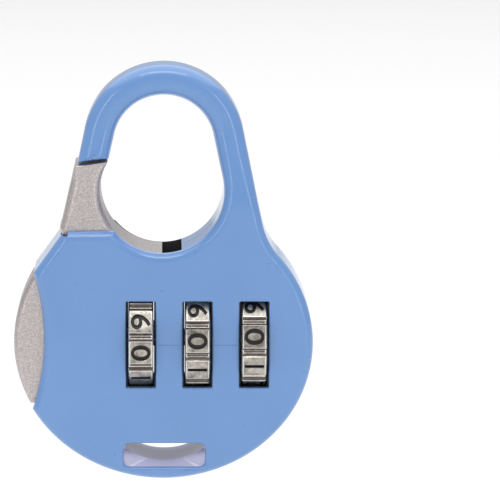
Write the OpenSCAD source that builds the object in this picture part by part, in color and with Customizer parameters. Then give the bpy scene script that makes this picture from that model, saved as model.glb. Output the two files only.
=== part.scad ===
// Three-dial combination padlock with a carabiner hook and a sprung gate.
// Frame: X to the right, Z up, the front face looks along -Y. The origin is the point that
// the padlock hangs from: the inside of the hook's bow, at its top. Millimetres.
// Drawings and sizes are given about the dial axis, and placed() lowers them into the frame.

/* [Case] */
// Width of the rounded case
case_w = 52.2; // [50:0.1:54]
// Height of the rounded case, without the hook
case_h = 48.4; // [47:0.1:50]
// Thickness of the case, front to back
case_t = 13; // [12.8:0.1:13.4]
// Thickness of the front and the rear plate
plate_t = 1.4; // [1.2:0.1:1.4]
// Thickness of the wall around the edge
wall_t = 1.8; // [1.6:0.1:2]

/* [Hook] */
// Outer radius of the hook's bow
bow_r = 14; // [13.8:0.1:14.2]
// Width of the hook's bar
bar_w = 5.25; // [5:0.05:5.5]
// Thickness of the hook's bar, front to back
bar_t = 9; // [8.6:0.1:9.6]
// Radius of the round floor of the opening
floor_r = 10.7; // [10.5:0.1:10.9]

/* [Dials] */
// Distance between two dials
dial_pitch = 9.85; // [9.7:0.05:10]
// Distance from the dial axis to a digit's flat
dial_flat_r = 8.75; // [8.5:0.05:8.8]
// Width of a dial
dial_w = 4.3; // [4.1:0.1:4.4]
// Width of a dial window
window_w = 5.15; // [5:0.05:5.3]
// Height of a dial window
window_h = 15.4; // [15.2:0.1:15.8]

/* [Lever] */
// Turn of the gate lever from closed to open, in degrees
lever_travel = 11; // [9:1:11]

/* [Lanyard slot] */
// Length of the lanyard slot
slot_w = 14.3; // [13:0.1:15]
// Height of the lanyard slot
slot_h = 4.5; // [4.4:0.1:4.6]

/* [Hidden] */
$fn = 96;
overrun = 1;                        // how far a cutting solid runs past what it cuts
fit_gap = 0.05;                     // radial clearance of a running fit
play = 0.35;                        // gap between parts that move past each other

case_a = case_w / 2;
case_b = case_h / 2;
half_t = case_t / 2;
core_t = half_t - plate_t;          // half the space between the two plates
lever_side_gap = 0.15;
lever_t = core_t - lever_side_gap;  // half the lever's thickness

bow = [0.1, 34.6];                  // centre of the hook's bow
neck_lean = 11.6;                   // lean of the hook's long leg off vertical, in degrees
leg_lean = 14;                      // the same for its short leg
// the slanted end of the short leg, with its two corners cut off
leg_end = [[-14.85, 31.9], [-14.35, 31.6], [-10.1, 32.2], [-9.45, 32.7]];
neck_root = [[9, 19], [15, 15]];    // corners of the long leg, hidden between the plates
neck_z = 24;                        // height at which the hook leaves the two plates
neck_blend_r = 12;
neck_blend_at = [29, 23.45];
neck_blend_a = 221.7;
bow_in_r = bow_r - bar_w;
hang_z = bow[1] + bow_in_r;         // height of the frame's origin over the dial axis
pivot = [-0.2, 26.8];               // centre of the opening's floor, and of the lever's turn
tail_t = 2.2;                       // radial thickness of the lever's tail
tail_out_r = floor_r + tail_t;
gate_out_r = 18.9;                  // outermost radius of the lever behind the plates
gap_end_a = 288.5;                  // where the tail's gap ends, as an angle about the pivot
tail_end_a = 270;
tail_root_a = 238;                  // where the tail leaves the lever's arm
cover_z = 20;                       // height at which the plates stop beside the gate

shoulder_top = [-17.2, 19.9];
shoulder_low = [-22.4, 12.7];
shoulder_wall = 1.2;
gate_way_gap = 0.25;
gate_way_a = [185, 232];            // the turn of the lever's outer edge inside the case
tail_way_a = 228;
arm_way = [[-19, 8], [-10, 14]];    // inner corners of the room for the lever's arm
thumb_r = 40;                       // radius of the scooped edge beside the thumb pad
thumb_centre = [-60.8, 1];
pad_lap = 2;                        // how far the thumb pad reaches in behind the plates
pad_top_z = 11.3;
pad_top_lap = 0.4;                  // how far the pad runs up into the lever's arm
pad_low_z = -10.9;
nose_t = 2;                         // half the thickness of the nose behind the pad
nose_top = [-20.1, 2.77];           // upper end of the nose's face
nose_tip = [-17.52, -1.7];          // its lower end
nose_root = [[-18.4, -2.9], [-20.6, -4], [-21, 3.2]];
rod_way_top = 4.75;                 // the way for the spindle in the thumb pad's skirt
rod_way_gap = 0.2;
wall_end_z = -13.1;                 // where the edge wall starts again below the thumb pad
wall_end = [[-19, wall_end_z + 1.1], [-21.2, wall_end_z + 0.3], [-case_w, wall_end_z - 6]];

gate_tip_z = 31.6;                  // top of the gate, where it meets the opening
gate_top = [[-14.8, 30.95], [-15.3, 30.6]];
gate_foot = [-17.75, 20.3];
gate_end_a = 211.5;                 // where the lever's outer edge leaves its arc
arm_edge = [[-17.35, 16.7], [-21.15, pad_top_z + 0.3], [-20.6, 8], [-18.4, 9.2], [-10.6, 12.2]];
guide_slack_a = 0.6;                // spare travel at each end of the lever's guide slot

dial_first_x = -3.9;
dial_x = [for (i = [0:2]) dial_first_x + i * dial_pitch];
dial_turn = [5.8, -7.9, -13];       // how far each dial stands off its click at rest
digits = 10;
digit_step = 360 / digits;
land_half_a = 13;                   // half the angle of a digit's flat
groove_half_a = 15;
dial_r = dial_flat_r / cos(land_half_a);
groove_depth = 0.45;
dial_groove_r = dial_flat_r - groove_depth;
dial_bore_r = 3.6;

rod_r = 1.5;
rod_tip_x = -18.04;
rod_end_x = 19.6;
fin_r = 2.9;
fin_w = 1.4;
fin_t = 0.8;
sleeve_l = 3.2;
key_w = 2.2;                        // width of the sleeve's slot for a fin
key_gap = 0.2;
fin_x = [for (x = dial_x) x + sleeve_l / 2 + play];
clip_x = fin_x[2] + fin_t + fit_gap;
clip_t = 0.6;
clip_r = 2.7;
seat_x = 23.3;
seat_t = 0.7;
seat_r = 2.8;
bush_x = -11.4;
bush_l = 1.8;
bush_r = 2.6;
rib_z = [-4, 7.6];
dial_wall_t = 0.9;                  // the thin walls beside each dial
dial_wall_gap = 0.15;
dial_wall_z = [-8.8, 9.2];
fin_room = 0.25;

lever_spring_x = -18.9;             // where the spring presses on the thumb pad
lever_spring_z = 6.4;
spring_wire_r = 0.22;
lever_spring_r = 1.3;
spring_gap = 0.25;                  // room between a coil's end and what it presses on
spindle_spring_r = 2.1;
spindle_wire_r = 0.154;

pin_r = 1;
boss_r = 1.9;
pin_at = [[16.3, 14], [20.6, -9], [11.5, -15.2], [-9.9, -14.2], [4.6, 12.2]];
guide_r = 15.6;
guide_a = 226;
tail_guide_a = 255;

comb_t = 0.35;
comb_gap = 0.2;
comb_z = -dial_r - comb_gap - comb_t; // underside of the detent comb
comb_x = [-8, 18.2];
comb_y = [2.4, 4.8];
finger_w = 2.4;
finger_tip_y = -2.5;
finger_lap = 0.1;                   // how far a finger runs into the comb's bar
ledge_h = 2.6;                      // height of the ledge that carries the comb
ledge_lap = 0.2;                    // how far the ledge runs into the rear plate
screw_x = [for (i = [0:1]) dial_x[i] + dial_pitch / 2];
screw_y = (comb_y[0] + comb_y[1]) / 2;
screw_r = 0.6;
screw_head_r = 1.05;
screw_head_h = 0.5;
screw_l = 2;
screw_lap = 0.1;                    // how far the shank runs into the head

slot_top_z = -17.65;
slot_mid_x = 0.2;
slot_corner_r = 1.2;
slot_floor_r = 11;
slot_wall = 1.2;

// ---- outline helpers: drawings lie in X and Z ----

function polar(centre, r, a) = [centre[0] + r * cos(a), centre[1] + r * sin(a)];
function arc(centre, r, a0, a1, n) = [for (i = [0:n]) polar(centre, r, a0 + (a1 - a0) * i / n)];
function oval(a, b, n) = [for (i = [0:n - 1]) [a * cos(360 * i / n), b * sin(360 * i / n)]];

// Lowers a sub-part from the dial axis into the frame
module placed() {
    translate([0, 0, -hang_z]) children();
}

// A drawing made solid between two depths
module slab(y0, y1) {
    translate([0, y1, 0]) rotate([90, 0, 0]) linear_extrude(y1 - y0) children();
}

// A wedge of a ring about a centre
module ring_part(centre, r0, r1, a0, a1) {
    polygon(concat(arc(centre, r1, a0, a1, 24), arc(centre, r0, a1, a0, 24)));
}

// A cylinder along Y
module bar_y(at, r, y0, y1) {
    translate([at[0], y1, at[1]]) rotate([90, 0, 0]) cylinder(r = r, h = y1 - y0);
}

// A cylinder along X
module bar_x(x0, x1, r) {
    translate([x0, 0, 0]) rotate([0, 90, 0]) cylinder(r = r, h = x1 - x0);
}

// A coil spring along X, swept as one closed tube
module coil_x(x0, x1, z, r, wire_r, turns) {
    per_turn = 14;
    sides = 6;
    rings = turns * per_turn;
    function ring_point(i, j) = let (
            a = 360 * i / per_turn,
            b = 360 * j / sides,
            rr = r + wire_r * cos(b)
        ) [x0 + (x1 - x0) * i / rings + wire_r * sin(b), rr * cos(a), z + rr * sin(a)];
    points = [for (i = [0:rings]) for (j = [0:sides - 1]) ring_point(i, j)];
    sides_faces = [for (i = [0:rings - 1]) for (j = [0:sides - 1])
        [i * sides + j, (i + 1) * sides + j, (i + 1) * sides + (j + 1) % sides, i * sides + (j + 1) % sides]];
    start_face = [for (j = [0:sides - 1]) j];
    end_face = [for (j = [sides - 1:-1:0]) rings * sides + j];
    polyhedron(points, concat(sides_faces, [start_face, end_face]), convexity = 6);
}

// ---- drawings ----

// The hook's bar, from the slanted end of its short leg round to the neck
module hook_2d() {
    difference() {
        polygon(concat(
            leg_end,
            arc(bow, bow_in_r, 180 - leg_lean, neck_lean, 32),
            [polar(pivot, floor_r, neck_lean)], neck_root,
            arc(neck_blend_at, neck_blend_r, neck_blend_a, 180 + neck_lean, 8),
            arc(bow, bow_r, neck_lean, 180 - leg_lean, 40)
        ));
        translate(pivot) circle(floor_r);
    }
}

// The part of the hook that lies between the plates
module neck_2d() {
    intersection() {
        hook_2d();
        square([case_a, neck_z]);
    }
}

// The rounded case without the hook: cut for the opening, the gate and the thumb pad
module case_2d() {
    difference() {
        polygon(oval(case_a, case_b, 120));
        translate(pivot) circle(floor_r);
        translate([-case_a - overrun, cover_z]) square([case_a + overrun, case_b]);
        polygon([shoulder_top, [-case_w, shoulder_top[1]], [-case_w, shoulder_low[1]], shoulder_low]);
        translate([-case_w, shoulder_top[1]]) square([case_w + shoulder_top[0], case_b]);
        translate(thumb_centre) circle(thumb_r, $fn = 240);
    }
}

module plate_2d() {
    difference() {
        union() {
            case_2d();
            neck_2d();
        }
        slot_mouth_2d();
        for (x = dial_x) translate([x - window_w / 2, -window_h / 2]) square([window_w, window_h]);
    }
}

// The hollow of the case between the plates, seen from the front
module hollow_2d() {
    along = (shoulder_low - shoulder_top) / norm(shoulder_low - shoulder_top);
    inward = [-along[1], along[0]];
    wall_top = shoulder_top + inward * shoulder_wall;
    wall_low = shoulder_low + inward * shoulder_wall;
    difference() {
        polygon(oval(case_a - wall_t, case_b - wall_t, 120));
        translate(pivot) circle(floor_r + wall_t);
        polygon([wall_top - along * case_w, wall_low + along * case_w, [-case_w, 0], [-case_w, case_w]]);
    }
    ring_part(pivot, floor_r - overrun, gate_out_r + gate_way_gap, gate_way_a[0], gate_way_a[1]);
    ring_part(pivot, floor_r - overrun, tail_out_r + play, tail_way_a, gap_end_a);
    // the corner behind the sloping shoulder, which the lever's arm runs in
    polygon([wall_top, wall_low, arm_way[0], arm_way[1]]);
    // the side opening that the thumb pad fills
    polygon(concat(
        wall_end,
        [[-case_w, shoulder_low[1]], shoulder_low + [-0.6, 0.4], wall_low, arm_way[0]]
    ));
}

// The lanyard slot's mouth in a plate: a rectangle with round corners
module slot_mouth_2d() {
    flat_w = slot_w / 2 - slot_corner_r;
    for (side = [-1, 1]) for (drop = [slot_corner_r, slot_h - slot_corner_r])
        translate([slot_mid_x + side * flat_w, slot_top_z - drop]) circle(slot_corner_r);
    translate([slot_mid_x - flat_w, slot_top_z - slot_h]) square([2 * flat_w, slot_h]);
    translate([slot_mid_x - slot_w / 2, slot_top_z - slot_h + slot_corner_r])
        square([slot_w, slot_h - 2 * slot_corner_r]);
}

// The slot's throat inside the case: flat on top, curved underneath, and larger by grow
module slot_throat_2d(grow) {
    w = slot_w + 2 * grow;
    intersection() {
        translate([slot_mid_x - w / 2, slot_top_z - slot_h - grow]) square([w, slot_h + 2 * grow]);
        translate([slot_mid_x, slot_top_z - slot_h + slot_floor_r]) circle(slot_floor_r + grow);
    }
}

// ---- case ----

// The thin walls beside the dials, which the spindle's fins and clip pass through
module dial_walls(y0, y1) {
    middle = dial_w / 2 + dial_wall_gap + dial_wall_t / 2;
    for (x = dial_x) for (side = [-1, 1]) difference() {
        translate([x + side * middle - dial_wall_t / 2, y0, dial_wall_z[0]])
            cube([dial_wall_t, y1 - y0, dial_wall_z[1] - dial_wall_z[0]]);
        bar_x(-case_a, case_a, fin_r + fin_room);
    }
}

// Half of the edge wall, with the pin bosses, the bush rib and the wall around the lanyard slot
module half_walls(y0, y1) {
    difference() {
        union() {
            slab(y0, y1) difference() {
                union() {
                    case_2d();
                    neck_2d();
                }
                hollow_2d();
            }
            for (at = pin_at) bar_y(at, boss_r, y0, y1);
            slab(y0, y1) slot_throat_2d(slot_wall);
            slab(y0, y1) translate([bush_x, rib_z[0]]) square([bush_l, rib_z[1] - rib_z[0]]);
        }
        slab(y0 - overrun, y1 + overrun) slot_throat_2d(0);
        bar_x(bush_x - overrun, bush_x + bush_l + overrun, bush_r);
        for (at = pin_at) bar_y(at, pin_r, -core_t, core_t);
    }
}

// The bar's side view: as thick as the case at the neck, thinner round the bow
module hook_taper() {
    half_bar = bar_t / 2;
    rotate([90, 0, 90]) translate([0, 0, -case_w]) linear_extrude(2 * case_w) polygon([
        [-half_t, 0], [half_t, 0], [half_t, neck_z], [half_bar, bow[1]], [half_bar, case_w],
        [-half_bar, case_w], [-half_bar, bow[1]], [-half_t, neck_z]
    ]);
}

module front_housing() {
    placed() color("cornflowerblue") {
        slab(-half_t, -core_t) plate_2d();
        half_walls(-core_t, 0);
        dial_walls(-core_t, 0);
        intersection() {
            hook_taper();
            slab(-half_t, half_t) difference() {
                hook_2d();
                translate([-case_a, 0]) square([case_w, neck_z]);
            }
        }
    }
}

module rear_cover() {
    placed() color("cornflowerblue") {
        slab(core_t, half_t) plate_2d();
        half_walls(0, core_t);
        dial_walls(0, core_t);
        // the ledge that carries the detent comb
        difference() {
            translate([comb_x[0], comb_y[0], comb_z - ledge_h])
                cube([comb_x[1] - comb_x[0], core_t - comb_y[0] + ledge_lap, ledge_h]);
            for (x = screw_x) translate([x, screw_y, comb_z - screw_l])
                cylinder(r = screw_r, h = screw_l + overrun);
        }
    }
}

module case_pins() {
    placed() color("silver") for (at = pin_at) bar_y(at, pin_r, -core_t, core_t);
}

// ---- gate lever ----

module lever_2d() {
    foot_a = atan2(gate_foot[1] - pivot[1], gate_foot[0] - pivot[0]) + 360;
    top_a = 180 - asin((gate_tip_z - pivot[1]) / floor_r);
    slot_a = [guide_a - lever_travel - guide_slack_a, guide_a + guide_slack_a];
    difference() {
        polygon(concat(
            arc(pivot, floor_r, tail_end_a, top_a, 40), gate_top,
            [gate_foot], arc(pivot, gate_out_r, foot_a, gate_end_a, 6),
            arm_edge, arc(pivot, tail_out_r, tail_root_a, tail_end_a, 20)
        ));
        ring_part(pivot, guide_r - pin_r - fit_gap, guide_r + pin_r + fit_gap, slot_a[0], slot_a[1]);
        for (a = slot_a) translate(polar(pivot, guide_r, a)) circle(pin_r + fit_gap);
    }
}

// The nose that pushes the spindle, its face sloped 30 degrees
module nose_2d() {
    polygon(concat([nose_top, nose_tip], nose_root));
}

// The way cut in the pad's skirt for the spindle, which the nose's face ends
module rod_way_2d() {
    polygon([nose_tip, nose_top, [nose_top[0], rod_way_top], [bush_x, rod_way_top], [bush_x, nose_tip[1]]]);
}

module thumb_pad_2d() {
    intersection() {
        polygon(oval(case_a - fit_gap, case_b - fit_gap, 120));
        translate(thumb_centre) circle(thumb_r + pad_lap, $fn = 240);
        translate([-case_a, pad_low_z]) square([case_a, pad_top_z + pad_top_lap - pad_low_z]);
    }
}

module gate_lever() {
    placed() color("silver") {
        slab(-lever_t, lever_t) lever_2d();
        difference() {
            slab(-lever_t, lever_t) thumb_pad_2d();
            slab(-rod_r - rod_way_gap, rod_r + rod_way_gap) rod_way_2d();
        }
        slab(-nose_t, nose_t) nose_2d();
    }
}

module lever_guide_pins() {
    placed() color("dimgray") {
        bar_y(polar(pivot, guide_r, guide_a), pin_r, -core_t, core_t);
        bar_y(polar(pivot, tail_out_r + pin_r + fit_gap, tail_guide_a), pin_r, -core_t, core_t);
    }
}

module lever_spring() {
    placed() color("lightgray")
        coil_x(lever_spring_x, bush_x - spring_gap, lever_spring_z, lever_spring_r, spring_wire_r, 6);
}

// ---- dials and sleeves ----

module dial(i) {
    placed() color("gray") translate([dial_x[i] - dial_w / 2, 0, 0]) rotate([dial_turn[i], 0, 0])
        rotate([90, 0, 90]) difference() {
            linear_extrude(dial_w) polygon([for (k = [0:digits - 1]) for (step = [
                    [dial_r, -land_half_a], [dial_r, land_half_a],
                    [dial_groove_r, groove_half_a], [dial_groove_r, digit_step - groove_half_a]
                ]) polar([0, 0], step[0], k * digit_step + step[1])]);
            translate([0, 0, -overrun]) cylinder(r = dial_bore_r, h = dial_w + 2 * overrun);
        }
}

module sleeve(i) {
    placed() color("goldenrod") translate([dial_x[i] - sleeve_l / 2, 0, 0]) rotate([dial_turn[i], 0, 0])
        rotate([90, 0, 90]) difference() {
            cylinder(r = dial_bore_r, h = sleeve_l);
            translate([0, 0, -overrun]) cylinder(r = rod_r + fit_gap, h = sleeve_l + 2 * overrun);
            translate([-key_w / 2, 0, -overrun]) cube([key_w, fin_r + key_gap, sleeve_l + 2 * overrun]);
        }
}

module dial_left() { dial(0); }
module dial_middle() { dial(1); }
module dial_right() { dial(2); }
module sleeve_left() { sleeve(0); }
module sleeve_middle() { sleeve(1); }
module sleeve_right() { sleeve(2); }

// ---- spindle ----

module spindle() {
    placed() color("silver") {
        bar_x(rod_tip_x + rod_r, rod_end_x, rod_r);
        translate([rod_tip_x + rod_r, 0, 0]) sphere(r = rod_r);
        for (x = fin_x) translate([x, -fin_w / 2, 0]) cube([fin_t, fin_w, fin_r]);
    }
}

module spindle_clip() {
    placed() color("dimgray") difference() {
        bar_x(clip_x, clip_x + clip_t, clip_r);
        bar_x(clip_x - overrun, clip_x + clip_t + overrun, rod_r);
    }
}

module spindle_bush() {
    placed() color("goldenrod") difference() {
        bar_x(bush_x, bush_x + bush_l, bush_r);
        bar_x(bush_x - overrun, bush_x + bush_l + overrun, rod_r + fit_gap);
    }
}

module spindle_spring() {
    placed() color("lightgray")
        coil_x(clip_x + clip_t + spring_gap, seat_x - spring_gap, 0, spindle_spring_r, spindle_wire_r, 4);
}

module spring_seat() {
    placed() color("dimgray") bar_x(seat_x, seat_x + seat_t, seat_r);
}

// ---- detent ----

module detent_comb() {
    placed() color("lightsteelblue") difference() {
        union() {
            translate([comb_x[0], comb_y[0], comb_z])
                cube([comb_x[1] - comb_x[0], comb_y[1] - comb_y[0], comb_t]);
            for (x = dial_x) translate([x - finger_w / 2, finger_tip_y, comb_z])
                cube([finger_w, comb_y[0] + finger_lap - finger_tip_y, comb_t]);
        }
        for (x = screw_x) translate([x, screw_y, comb_z - overrun])
            cylinder(r = screw_r, h = comb_t + 2 * overrun);
    }
}

module detent_screws() {
    placed() color("silver") for (x = screw_x) translate([x, screw_y, comb_z - screw_l]) {
        cylinder(r = screw_r, h = screw_l + comb_t + screw_lap);
        translate([0, 0, screw_l + comb_t]) cylinder(r = screw_head_r, h = screw_head_h);
    }
}

front_housing();
rear_cover();
case_pins();
gate_lever();
lever_guide_pins();
lever_spring();
dial_left();
dial_middle();
dial_right();
sleeve_left();
sleeve_middle();
sleeve_right();
spindle();
spindle_clip();
spindle_bush();
spindle_spring();
spring_seat();
detent_comb();
detent_screws();
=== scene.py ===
"""Looks for the three-dial padlock: smooth shells, cast gate lever, engraved dials and procedural materials.

Outlines are drawn in millimetres about the dial axis, X to the right and Z up, seen from the front.
place() takes them into the frame, whose origin is the inside top of the hook.
"""

import math

import bmesh
import bpy
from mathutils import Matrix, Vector
from mathutils.geometry import tessellate_polygon


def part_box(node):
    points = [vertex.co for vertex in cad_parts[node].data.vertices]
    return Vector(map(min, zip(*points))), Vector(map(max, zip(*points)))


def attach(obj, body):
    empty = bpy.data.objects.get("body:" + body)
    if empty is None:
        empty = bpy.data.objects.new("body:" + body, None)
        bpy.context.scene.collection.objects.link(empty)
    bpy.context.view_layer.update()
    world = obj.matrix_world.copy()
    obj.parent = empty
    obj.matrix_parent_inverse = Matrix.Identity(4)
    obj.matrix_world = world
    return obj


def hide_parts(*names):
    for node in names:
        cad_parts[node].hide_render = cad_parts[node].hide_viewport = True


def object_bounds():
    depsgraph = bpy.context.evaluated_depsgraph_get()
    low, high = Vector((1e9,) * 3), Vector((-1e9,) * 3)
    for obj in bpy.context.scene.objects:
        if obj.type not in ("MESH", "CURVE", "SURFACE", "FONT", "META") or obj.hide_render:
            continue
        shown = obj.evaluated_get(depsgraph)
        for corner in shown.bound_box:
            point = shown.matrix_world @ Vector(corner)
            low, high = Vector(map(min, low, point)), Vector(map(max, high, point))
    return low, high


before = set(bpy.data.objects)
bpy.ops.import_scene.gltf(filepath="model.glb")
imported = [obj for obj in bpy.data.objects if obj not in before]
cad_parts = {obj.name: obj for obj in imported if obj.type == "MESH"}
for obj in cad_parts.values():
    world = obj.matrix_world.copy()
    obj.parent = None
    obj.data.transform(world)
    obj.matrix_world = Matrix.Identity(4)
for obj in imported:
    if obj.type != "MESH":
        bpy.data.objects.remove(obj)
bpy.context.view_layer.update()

# ---- driving dimensions, in millimetres about the dial axis ----

MM = 0.001


def box_mm(node):
    """A CAD node's lowest and highest corners, in millimetres."""
    low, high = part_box(node)
    return [v / MM for v in low], [v / MM for v in high]


cover_low, cover_high = box_mm("rear_cover")
lever_low, lever_high = box_mm("gate_lever")
housing_low, housing_high = box_mm("front_housing")
bush_low, bush_high = box_mm("spindle_bush")

DIAL_AXIS_Z = (bush_low[2] + bush_high[2]) / 2      # the bush is round about the dial axis
CASE_A = cover_high[0]
CASE_B = DIAL_AXIS_Z - cover_low[2]
HALF_T = cover_high[1]
NECK_Z = cover_high[2] - DIAL_AXIS_Z
LEVER_HALF_T = lever_high[1]
PLATE_T = 1.4
CORE_T = HALF_T - PLATE_T                           # half the space between the plates
BOW_R = 14.0
BAR_W = 5.25
BOW = (0.1, housing_high[2] - DIAL_AXIS_Z - BOW_R)
BAR_HALF_T = 4.5
NECK_LEAN = 11.6
LEG_LEAN = 14.0
PIVOT = (-0.2, 26.8)
FLOOR_R = 10.7
COVER_Z = 20.0
SHOULDER_TOP = (-17.2, 19.9)
SHOULDER_LOW = (-22.4, 12.7)
THUMB_AT = (-60.8, 1.0)
THUMB_R = 40.0
PAD_LAP = 2.0
WALL_T = 1.8
SHOULDER_WALL = 1.2
GATE_OUT_R = 18.9
TAIL_OUT_R = 12.9
GAP_END_A = 288.5
LEVER_TRAVEL = 11.0
GUIDE_R = 15.6                                      # the pin that guides the lever, about the pivot
GUIDE_A = 226.0
GUIDE_SLACK_A = 0.6
GUIDE_SLOT_HALF = 1.05
PAD_LOW_Z = -10.9
PAD_HIGH_Z = 11.7

DIALS = ("dial_left", "dial_middle", "dial_right")
DIAL_BODIES = {"dial_left": "left_dial", "dial_middle": "middle_dial", "dial_right": "right_dial"}
DIAL_TURN = {"dial_left": 5.8, "dial_middle": -7.9, "dial_right": -13.0}
DIAL_X = {name: sum(box_mm(name)[i][0] for i in (0, 1)) / 2 for name in DIALS}
DIAL_W = 4.3
DIAL_FLAT_R = 8.75
DIAL_BORE_R = 3.6
DIGITS = 10
DIGIT_STEP = 360.0 / DIGITS
LAND_HALF_A = 13.0                                  # half the angle of a digit's flat
GROOVE_HALF_A = 16.0
GROOVE_DEPTH = 0.55
DIAL_CHAMFER = 0.22
# width of the bevelled dial edges that take the lighter nickel: rubbed edges and painted glints
WORN_AND_GLINT_EDGE = 0.1
WINDOW_W = 5.15
WINDOW_H = 15.4

SLOT_W = 14.3
SLOT_H = 4.3
SLOT_TOP_Z = -17.65
SLOT_MID_X = 0.2
THROAT_W = 13.7
THROAT_DROP = 3.5
THROAT_FLOOR_R = 11.9
THROAT_CORNER_R = 1.1
THROAT_DEPTH = 2.1                                  # from the case's face back to the throat
THROAT_TOP_GAP = 0.15
SLOT_WALL = 1.2
LINING_DEPTH = 0.7                                  # where the lining starts, behind the mouth's edge
LINING_LAP = 0.5                                    # how far it reaches in behind the mouth

CASE_FILLET = 1.5
BOW_FILLET = 2.2
FILLET_STEPS = 7
WINDOW_FILLET = 0.3
MOUTH_FILLET = 0.45
SEAM_DEPTH = 0.13                                   # the groove along the parting line
SHARP = 0.001                                       # the least rounding that a slab takes


# ---- outline helpers ----

def polar(centre, r, a):
    """The point at radius r and angle a, in degrees, about a centre."""
    return (centre[0] + r * math.cos(math.radians(a)), centre[1] + r * math.sin(math.radians(a)))


def arc(centre, r, a0, a1, n):
    """n + 1 points along an arc."""
    return [polar(centre, r, a0 + (a1 - a0) * i / n) for i in range(n + 1)]


def oval(a, b, t0, t1, n):
    """n + 1 points along an oval, between two parameters in degrees."""
    steps = [math.radians(t0 + (t1 - t0) * i / n) for i in range(n + 1)]
    return [(a * math.cos(t), b * math.sin(t)) for t in steps]


def line(p, q, n):
    """n + 1 points along a straight line."""
    return [(p[0] + (q[0] - p[0]) * i / n, p[1] + (q[1] - p[1]) * i / n) for i in range(n + 1)]


def joined(*runs):
    """Runs of points end to end, without repeats where they meet."""
    out = []
    for run in runs:
        for p in run:
            if not out or math.dist(out[-1], p) > 1e-4:
                out.append(p)
    if math.dist(out[0], out[-1]) < 1e-4:
        out.pop()
    return out


def rounded(corners, r, n=5):
    """A closed outline with each corner rounded to radius r."""
    out = []
    for i, c in enumerate(corners):
        before, after = corners[i - 1], corners[(i + 1) % len(corners)]
        u = Vector((before[0] - c[0], before[1] - c[1])).normalized()
        v = Vector((after[0] - c[0], after[1] - c[1])).normalized()
        half = math.acos(max(-1.0, min(1.0, u.dot(v)))) / 2
        reach = min(r / math.tan(half), 0.45 * math.dist(before, c), 0.45 * math.dist(after, c))
        a, b = Vector(c) + u * reach, Vector(c) + v * reach
        for k in range(n + 1):
            t = k / n
            p = a * (1 - t) ** 2 + Vector(c) * 2 * t * (1 - t) + b * t ** 2
            out.append((p.x, p.y))
    return out


def area(loop):
    """Signed area: positive for a loop that runs counter-clockwise."""
    return sum(loop[i - 1][0] * p[1] - p[0] * loop[i - 1][1] for i, p in enumerate(loop)) / 2


def counter_clockwise(loop):
    return loop if area(loop) > 0 else list(reversed(loop))


def inset(loop, amounts):
    """Moves each edge of a counter-clockwise loop inwards. amounts[i] is for the edge after point i."""
    out = []
    count = len(loop)
    for i, p in enumerate(loop):
        before, after = loop[i - 1], loop[(i + 1) % count]
        e1 = Vector((p[0] - before[0], p[1] - before[1])).normalized()
        e2 = Vector((after[0] - p[0], after[1] - p[1])).normalized()
        n1, n2 = Vector((-e1.y, e1.x)), Vector((-e2.y, e2.x))
        d1, d2 = amounts[i - 1], amounts[i]
        turn = n1.x * n2.y - n1.y * n2.x
        if abs(turn) < 0.15:
            middle = (n1 + n2).normalized() * (d1 + d2) / 2
            out.append((p[0] + middle.x, p[1] + middle.y))
        else:
            out.append((p[0] + (d1 * n2.y - d2 * n1.y) / turn, p[1] + (n1.x * d2 - n2.x * d1) / turn))
    return out


def edge_sizes(loop, size):
    """A size for each edge of a loop, from a function of the edge's middle."""
    count = len(loop)
    return [size(((p[0] + loop[(i + 1) % count][0]) / 2, (p[1] + loop[(i + 1) % count][1]) / 2))
            for i, p in enumerate(loop)]


# ---- mesh helpers ----

def place(x, y, z):
    """A drawn point, in the frame and in metres."""
    return Vector((x * MM, y * MM, (z + DIAL_AXIS_Z) * MM))


def add_object(name, bm, sharp_deg=35):
    """A new smooth-shaded object from a bmesh."""
    bmesh.ops.remove_doubles(bm, verts=bm.verts, dist=1e-6)
    bmesh.ops.recalc_face_normals(bm, faces=bm.faces)
    mesh = bpy.data.meshes.new(name)
    bm.to_mesh(mesh)
    bm.free()
    mesh.shade_smooth()
    mesh.set_sharp_from_angle(angle=math.radians(sharp_deg))
    obj = bpy.data.objects.new(name, mesh)
    bpy.context.scene.collection.objects.link(obj)
    return obj


def ring_verts(bm, loop, depth):
    """Vertices of a loop; depth is one number or one per point."""
    depths = depth if isinstance(depth, list) else [depth] * len(loop)
    return [bm.verts.new(place(p[0], d, p[1])) for p, d in zip(loop, depths)]


def skin(bm, rings):
    """Quads between one closed ring and the next."""
    for a, b in zip(rings, rings[1:]):
        for i in range(len(a)):
            bm.faces.new((a[i - 1], a[i], b[i], b[i - 1]))


def cap(bm, loops, rings):
    """Triangles over a flat face with holes. loops are the drawn points, rings their vertices."""
    verts = [v for ring in rings for v in ring]
    drawn = [[Vector((p[0], p[1], 0)) for p in loop] for loop in loops]
    for tri in tessellate_polygon(drawn):
        corners = [verts[i] for i in tri]
        if len(set(corners)) == 3 and not bm.faces.get(corners):
            bm.faces.new(corners)


def fillet_rings(bm, loop, radii, faces, side, hole=False, insets=None):
    """Rings that turn from a slab's side onto its face, and the last drawn outline.

    faces gives the face's depth at each point, and side is the sign from the face to the slab's middle.
    """
    rings, last = [], loop
    sign = -1 if hole else 1
    for k in range(FILLET_STEPS + 1):
        a = math.pi / 2 * k / FILLET_STEPS
        last = inset(loop, [sign * r * (1 - math.cos(a)) for r in insets or radii])
        depths = [face + side * r * (1 - math.sin(a)) for face, r in zip(faces, radii)]
        rings.append(ring_verts(bm, last, depths))
    return rings, last


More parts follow.
